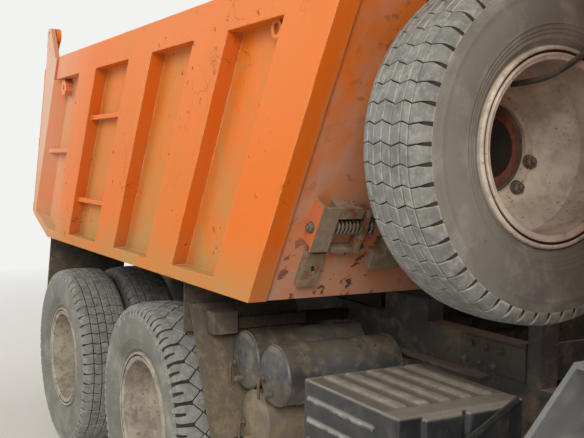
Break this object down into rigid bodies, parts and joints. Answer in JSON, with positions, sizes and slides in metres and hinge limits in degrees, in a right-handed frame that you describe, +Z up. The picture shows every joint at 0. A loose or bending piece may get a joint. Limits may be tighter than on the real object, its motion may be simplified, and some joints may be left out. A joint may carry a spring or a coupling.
{
  "type": "dump truck",
  "caption": "Cab-over dump truck with a forward-leaning ribbed tipping body, telescopic hoist, top-hung tailgate, steered front wheels and twin rear wheels.",
  "frame": {"origin": "on the ground, in the middle of the length and the width", "axes": "+X forward, +Y to the truck's left, +Z up"},
  "size_m": [6.62, 2.8, 3.015],
  "materials": {
    "body_orange": "worn gloss paint under dust",
    "cab_orange": "worn gloss paint",
    "chassis_black": "dusty matt paint",
    "axle_iron": "dusty cast iron",
    "spring_steel": "dusty matt paint",
    "wheel_beige": "dusty paint",
    "tyre": "dusty rubber",
    "flap_rubber": "dusty rubber",
    "battery_plastic": "moulded, dusty",
    "tank_paint": "dusty paint",
    "glass": "clear",
    "lamp": "clear over reflector",
    "seat_fabric": "woven cover",
    "dash_plastic": "moulded",
    "ram_steel": "ground"
  },
  "bodies": {
    "chassis": {"frame_rails": "chassis_black", "crossmembers": "chassis_black", "subframe": "chassis_black", "engine_block": "axle_iron", "drive_line": "axle_iron", "axles": "axle_iron", "leaf_springs": "spring_steel", "fuel_tank": "tank_paint", "air_tanks": "tank_paint", "battery_box": "battery_plastic", "spare_tyre": "tyre", "spare_wheel": "wheel_beige", "spare_carrier": "chassis_black", "front_bumper": "chassis_black", "lamps": "lamp", "mudguards": "flap_rubber", "exhaust": "chassis_black", "cab_floor": "cab_orange", "cab_back": "cab_orange", "cab_sides": "cab_orange", "cab_roof": "cab_orange", "cab_front": "cab_orange", "grille": "chassis_black", "cab_glass": "glass", "fenders": "chassis_black", "seats": "seat_fabric", "dashboard": "dash_plastic", "mirrors": "dash_plastic"},
    "bed": {"bed_floor": "body_orange", "bed_side_left": "body_orange", "wall_brackets": "body_orange", "bed_side_right": "body_orange", "bed_front": "body_orange"},
    "tailgate": {"tailgate": "body_orange"},
    "hoist_barrel": {"hoist_barrel": "chassis_black"},
    "hoist_ram_1": {"hoist_ram_1": "ram_steel"},
    "hoist_ram_2": {"hoist_ram_2": "ram_steel"},
    "hoist_ram_3": {"hoist_ram_3": "ram_steel"},
    "door_left": {"door_left": "cab_orange", "door_glass_left": "glass"},
    "knuckle_left": {"knuckle_left": "axle_iron"},
    "front_wheel_left": {"front_tyre_left": "tyre", "front_wheel_left": "wheel_beige"},
    "twin_middle_left": {"tyres_middle_left": "tyre", "wheels_middle_left": "wheel_beige"},
    "twin_rear_left": {"tyres_rear_left": "tyre", "wheels_rear_left": "wheel_beige"},
    "door_right": {"door_right": "cab_orange", "door_glass_right": "glass"},
    "knuckle_right": {"knuckle_right": "axle_iron"},
    "front_wheel_right": {"front_tyre_right": "tyre", "front_wheel_right": "wheel_beige"},
    "twin_middle_right": {"tyres_middle_right": "tyre", "wheels_middle_right": "wheel_beige"},
    "twin_rear_right": {"tyres_rear_right": "tyre", "wheels_rear_right": "wheel_beige"}
  },
  "joints": [
    {"name": "steer_left", "type": "hinge", "parent": "chassis", "child": "knuckle_left", "pos_m": [1.96, 0.87, 0.52], "axis": [0, 0, 1], "range_deg": [-35, 35]},
    {"name": "front_roll_left", "type": "hinge", "parent": "knuckle_left", "child": "front_wheel_left", "pos_m": [1.96, 1.02, 0.52], "axis": [0, 1, 0], "continuous": true},
    {"name": "middle_roll_left", "type": "hinge", "parent": "chassis", "child": "twin_middle_left", "pos_m": [-1.23, 0.945, 0.52], "axis": [0, 1, 0], "continuous": true},
    {"name": "rear_roll_left", "type": "hinge", "parent": "chassis", "child": "twin_rear_left", "pos_m": [-2.55, 0.945, 0.52], "axis": [0, 1, 0], "continuous": true},
    {"name": "door_left", "type": "hinge", "parent": "chassis", "child": "door_left", "pos_m": [2.94, 1.212, 2], "axis": [0, 0, -1], "range_deg": [0, 70]},
    {"name": "steer_right", "type": "hinge", "parent": "chassis", "child": "knuckle_right", "pos_m": [1.96, -0.87, 0.52], "axis": [0, 0, 1], "range_deg": [-35, 35]},
    {"name": "front_roll_right", "type": "hinge", "parent": "knuckle_right", "child": "front_wheel_right", "pos_m": [1.96, -1.02, 0.52], "axis": [0, 1, 0], "continuous": true},
    {"name": "middle_roll_right", "type": "hinge", "parent": "chassis", "child": "twin_middle_right", "pos_m": [-1.23, -0.945, 0.52], "axis": [0, 1, 0], "continuous": true},
    {"name": "rear_roll_right", "type": "hinge", "parent": "chassis", "child": "twin_rear_right", "pos_m": [-2.55, -0.945, 0.52], "axis": [0, 1, 0], "continuous": true},
    {"name": "door_right", "type": "hinge", "parent": "chassis", "child": "door_right", "pos_m": [2.94, -1.212, 2], "axis": [0, 0, 1], "range_deg": [0, 70]},
    {"name": "bed_tip", "type": "hinge", "parent": "chassis", "child": "bed", "pos_m": [-3, 0, 1.01], "axis": [0, -1, 0], "range_deg": [0, 50]},
    {"name": "tailgate_swing", "type": "hinge", "parent": "bed", "child": "tailgate", "pos_m": [-2.735, 0, 2.425], "axis": [0, 1, 0], "range_deg": [0, 55]},
    {"name": "hoist_lean", "type": "hinge", "parent": "chassis", "child": "hoist_barrel", "pos_m": [-0.8, 0, 0.44], "axis": [0, -1, 0], "range_deg": [0, 13.33]},
    {"name": "ram_1_slide", "type": "slide", "parent": "hoist_barrel", "child": "hoist_ram_1", "axis": [-0.1801, 0, 0.9836], "range_m": [0, 0.5767]},
    {"name": "ram_2_slide", "type": "slide", "parent": "hoist_ram_1", "child": "hoist_ram_2", "axis": [-0.1801, 0, 0.9836], "range_m": [0, 0.5767]},
    {"name": "ram_3_slide", "type": "slide", "parent": "hoist_ram_2", "child": "hoist_ram_3", "axis": [-0.1801, 0, 0.9836], "range_m": [0, 0.5767]}
  ],
  "couplings": [
    {"joint": "steer_right", "follows": "steer_left", "ratio": 1},
    {"joint": "hoist_lean", "follows": "bed_tip", "ratio": 0.26258},
    {"joint": "ram_1_slide", "follows": "bed_tip", "m_per_rad": 0.6597},
    {"joint": "ram_2_slide", "follows": "bed_tip", "m_per_rad": 0.6597},
    {"joint": "ram_3_slide", "follows": "bed_tip", "m_per_rad": 0.6597}
  ]
}
